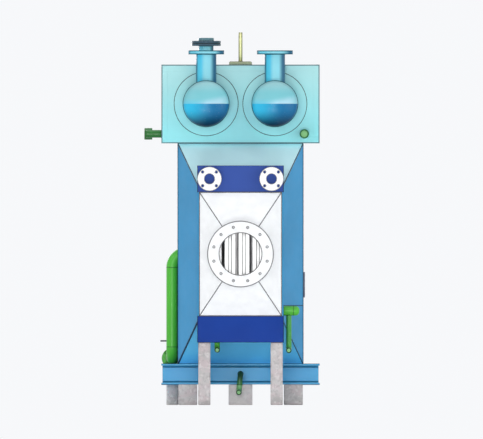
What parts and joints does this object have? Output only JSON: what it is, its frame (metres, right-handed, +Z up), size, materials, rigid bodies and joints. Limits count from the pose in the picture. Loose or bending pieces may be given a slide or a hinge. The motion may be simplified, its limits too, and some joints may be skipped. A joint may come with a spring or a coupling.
{
  "type": "industrial boiler",
  "caption": "Skid-mounted heat-recovery steam boiler with steam drums, a front economiser, gas hoods, flanged nozzles and green service pipes.",
  "frame": {"origin": "underside of the middle plinth, on the floor, on the centre line of the skid", "axes": "+Z up, -Y out of the front gas outlet, +X to the right seen from the front"},
  "size_m": [1.3675, 2.43, 2.9069],
  "materials": {
    "concrete": "cast concrete",
    "boiler_blue": "satin paint",
    "reducer_blue": "satin paint",
    "header_blue": "satin paint",
    "hood_white": "satin paint",
    "tube_grey": "satin paint",
    "cladding_cyan": "satin paint",
    "drum_blue": "gloss paint",
    "pipe_green": "gloss paint",
    "vent_dark": "satin paint",
    "gasket_black": "matte",
    "lug_yellow": "satin paint",
    "lug_base_grey": "satin paint",
    "hatch_grey": "satin paint",
    "bracket_dark": "satin paint"
  },
  "bodies": {
    "root": {"plinths": "concrete", "pipe_plinth": "concrete", "columns": "concrete", "skid_front_beam": "boiler_blue", "skid_rear_beam": "boiler_blue", "skid_side_beams": "boiler_blue", "skid_cross_beam": "boiler_blue", "casing_left_wall": "boiler_blue", "casing_right_wall": "boiler_blue", "casing_floor": "boiler_blue", "casing_roof": "boiler_blue", "reducer_bottom": "boiler_blue", "reducer_sides": "boiler_blue", "inlet_hood": "boiler_blue", "inlet_neck": "boiler_blue", "inlet_flange": "boiler_blue", "reducer_top": "reducer_blue", "economiser_lower_box": "header_blue", "economiser_upper_box": "header_blue", "economiser_walls": "header_blue", "outlet_hood": "hood_white", "outlet_neck": "hood_white", "outlet_flange": "hood_white", "water_nozzles": "hood_white", "boiler_tubes": "tube_grey", "economiser_tubes": "tube_grey", "enclosure_floor": "cladding_cyan", "enclosure_roof": "cladding_cyan", "enclosure_sides": "cladding_cyan", "enclosure_front": "cladding_cyan", "enclosure_rear": "cladding_cyan", "drum_collars": "cladding_cyan", "drum_shells": "drum_blue", "drum_heads": "drum_blue", "drum_nozzles": "drum_blue", "drum_flanges": "drum_blue", "vent_nozzle": "drum_blue", "riser_elbows": "pipe_green", "riser_pipe": "pipe_green", "return_pipe": "pipe_green", "return_flange": "pipe_green", "side_header": "pipe_green", "header_cap": "pipe_green", "drop_pipe": "pipe_green", "economiser_drain": "pipe_green", "blowdown_pipe": "pipe_green", "pipe_plugs": "pipe_green", "side_stubs": "pipe_green", "front_stub": "pipe_green", "vent_cover": "vent_dark", "vent_gasket": "gasket_black", "lug_plates": "lug_yellow", "lug_bases": "lug_base_grey", "hatch_cover": "hatch_grey", "pipe_bracket": "bracket_dark"}
  },
  "joints": []
}
